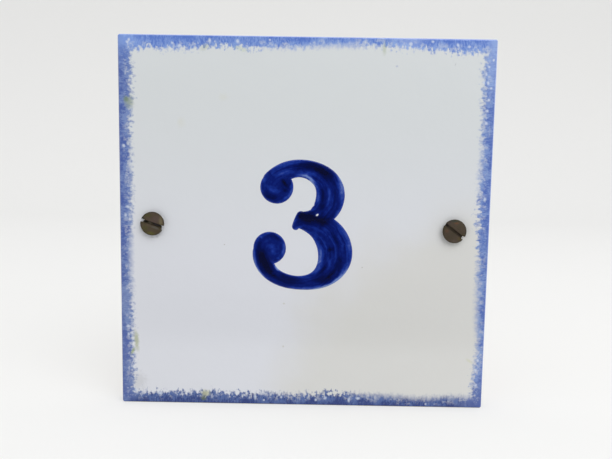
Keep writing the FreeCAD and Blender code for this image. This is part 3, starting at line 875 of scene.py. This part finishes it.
# Each of the two screws is a copy of that one, with its own slot.
screws = {}
for side, (turn, left_depths, right_depths, (chip_x, chip_z, chip_radius)) in slot_shapes.items():
    screw = blank.copy()
    screw.data = blank.data.copy()
    screw.name = "brass_screw_" + side
    bpy.context.scene.collection.objects.link(screw)
    slot = add_block(
        "slot_tool",
        (-slot_reach, head_top_y - 2 * overshoot, -slot_half_width),
        (slot_reach, head_top_y + 2 * overshoot, slot_half_width),
    )
    for vertex in slot.data.vertices:
        if vertex.co.y > head_top_y:
            upper_depth, lower_depth = right_depths if vertex.co.x > 0 else left_depths
            vertex.co.y = head_top_y + (upper_depth if vertex.co.z > 0 else lower_depth)
    slot.rotation_euler = (0, math.radians(turn), 0)
    bpy.ops.object.transform_apply(rotation=True)
    carve(screw, slot)
    chip_profile = [(chip_radius, head_top_y - overshoot), (0.8 * chip_radius, head_top_y + chip_depth)]
    chip = add_turned("chip_tool", chip_profile, sides=24)
    chip.location = (chip_x, 0, chip_z)
    bpy.ops.object.transform_apply(location=True)
    chip.rotation_euler = (0, math.radians(turn), 0)
    bpy.ops.object.transform_apply(rotation=True)
    carve(screw, chip)
    screws[side] = screw
bpy.data.objects.remove(blank)

# Tarnished brass: weathered to a dull olive brown, with turning marks round the head, a darker worn rim,
# and stains of verdigris, rust brown and black. Some marks are painted light and shade: a painted highlight
# on the left head's right edge and below its slot, and a painted shadow at the right slot's upper-left end.
brass, tree = new_material("tarnished_brass")
place = add_node(tree, "TexCoord").outputs["Object"]
in_mm = add_node(tree, "VectorMath", {"Vector": place, "Scale": 1000.0}, operation="SCALE")
flat_mm = add_node(tree, "VectorMath", {0: in_mm, 1: (1, 0, 1)}, operation="MULTIPLY")
from_each = [
    add_node(tree, "VectorMath", {0: flat_mm, 1: (x * 1000, 0, z * 1000)}, operation="DISTANCE")
    for x, z in hole_places.values()
]
from_left, from_right = [distance.outputs["Value"] for distance in from_each]
from_axis = add_node(tree, "Math", {0: from_left, 1: from_right}, operation="MINIMUM")
blotches = add_node(tree, "TexNoise", {"Vector": in_mm, "Scale": 0.35, "Detail": 4.0, "Roughness": 0.65})
tarnish = add_node(
    tree, "MapRange", {"Value": blotches, "From Min": 0.35, "From Max": 0.65},
    interpolation_type="SMOOTHSTEP",
)
colour = add_node(
    tree, "Mix", {"Factor": tarnish, "A": linear("#494029"), "B": linear("#54463A")}, data_type="RGBA"
)
rim_grime = add_node(
    tree, "MapRange", {"Value": from_axis, "From Min": 3.9, "From Max": 4.8, "To Max": 0.5},
    interpolation_type="SMOOTHSTEP",
)
colour = add_node(tree, "Mix", {"Factor": rim_grime, "A": colour, "B": linear("#2F2E22")}, data_type="RGBA")
colour = stain(tree, in_mm, colour, [
    (-63.0, 3.5, 1.2, 0.7, 10, "#4C4A22", 0.7), (-61.8, -3.7, 1.8, 0.8, 0, "#5C5B22", 0.8),
    (-65.3, 2.6, 0.6, 1.1, -30, "#1B2A20", 0.8), (-60.3, 1.7, 2.4, 2.0, 0, "#55463F", 0.8),
    # (-57.9, 1.2): painted highlight on the left head's lit right edge, with wear there.
    (-57.9, 1.2, 0.8, 2.4, 0, "#746A50", 0.8), (-64.3, -1.6, 1.6, 1.6, 0, "#4E4A26", 0.7),
    # (-60.0, -1.5): painted highlight, the lit band below the left slot.
    (-60.0, -1.5, 2.0, 0.5, 18, "#5E5A54", 0.7), (-64.2, 1.1, 0.9, 0.7, 0, "#16180F", 0.9),
    (-62.5, 0.5, 1.2, 0.45, 18, "#9C9480", 0.7), (-59.9, -0.3, 1.7, 0.45, 18, "#6C6A78", 0.6),
    (60.4, -0.9, 7.0, 7.0, 0, "#383024", 0.4), (61.1, 2.4, 1.0, 0.5, 0, "#74482C", 0.5),
    (57.3, -0.8, 0.9, 0.9, 0, "#64442F", 0.5), (63.7, -4.5, 0.6, 0.6, 0, "#1E2A26", 0.8),
    (65.2, -2.0, 0.6, 1.4, 0, "#262E1A", 0.7), (60.2, 3.2, 1.5, 0.6, 0, "#27342A", 0.7),
    (62.4, -3.9, 1.1, 0.9, 0, "#57492A", 0.7), (60.6, -4.9, 1.6, 0.5, 0, "#5C5048", 0.6),
    # (57.3, 1.5): painted shadow at the right slot's upper-left end, with some grime.
    (58.4, 2.4, 1.2, 0.6, -40, "#3E3434", 0.6), (57.3, 1.5, 1.0, 0.6, 36, "#1E1814", 0.8),
])
grain = add_node(tree, "TexNoise", {"Vector": in_mm, "Scale": 2.2, "Detail": 5.0, "Roughness": 0.7})
turned = add_node(tree, "TexNoise", {"W": from_axis, "Scale": 4.5, "Detail": 2.0}, noise_dimensions="1D")
surface = add_node(tree, "Math", {0: turned, 1: 0.6, 2: grain}, operation="MULTIPLY_ADD")
relief = add_node(tree, "Bump", {"Strength": 0.6, "Distance": 0.0001, "Height": surface})
dull = add_node(
    tree, "MapRange",
    {"Value": blotches, "From Min": 0.3, "From Max": 0.7, "To Min": 0.48, "To Max": 0.7},
)
shader = add_node(
    tree, "BsdfPrincipled", {"Base Color": colour, "Metallic": 0.5, "Roughness": dull, "Normal": relief}
)
add_node(tree, "OutputMaterial", {"Surface": shader})
for side, screw in screws.items():
    x, z = hole_places[side]
    screw.location = (x, 0, z)
    choose(screw)
    bpy.ops.object.transform_apply(location=True)
    bpy.ops.object.shade_smooth_by_angle(angle=math.radians(35))
    screw.data.materials.clear()
    screw.data.materials.append(brass)
    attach(screw, "root")
    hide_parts("screw_" + side)

# The wall plugs: natural nylon, each moulded in one piece with a collar, ringed ribs and two legs that the
# screw spreads. They are pushed into drilled holes behind the tile, and are hidden in use.
nylon, tree = new_material("natural_nylon")
place = add_node(tree, "TexCoord").outputs["Object"]
in_mm = add_node(tree, "VectorMath", {"Vector": place, "Scale": 1000.0}, operation="SCALE")
flow = add_node(tree, "VectorMath", {0: in_mm, 1: (0.5, 0.12, 0.5)}, operation="MULTIPLY")
flow = add_node(tree, "TexNoise", {"Vector": flow, "Scale": 1.0, "Detail": 4.0, "Distortion": 0.5})
colour = add_node(
    tree, "Mix", {"Factor": flow, "A": linear("#A9ABA4"), "B": linear("#C6C7BF")}, data_type="RGBA"
)
satin = add_node(
    tree, "MapRange", {"Value": flow, "From Min": 0.3, "From Max": 0.7, "To Min": 0.38, "To Max": 0.55}
)
spark = add_node(tree, "TexNoise", {"Vector": in_mm, "Scale": 6.0, "Detail": 2.0})
relief = add_node(tree, "Bump", {"Strength": 0.25, "Distance": 0.00005, "Height": spark.outputs["Fac"]})
shader = add_node(
    tree, "BsdfPrincipled", {"Base Color": colour, "Roughness": satin, "IOR": 1.53, "Normal": relief}
)
add_node(tree, "OutputMaterial", {"Surface": shader})
for side in hole_places:
    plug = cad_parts["wall_plug_" + side]
    plug.data.materials.clear()
    plug.data.materials.append(nylon)

low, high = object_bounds()
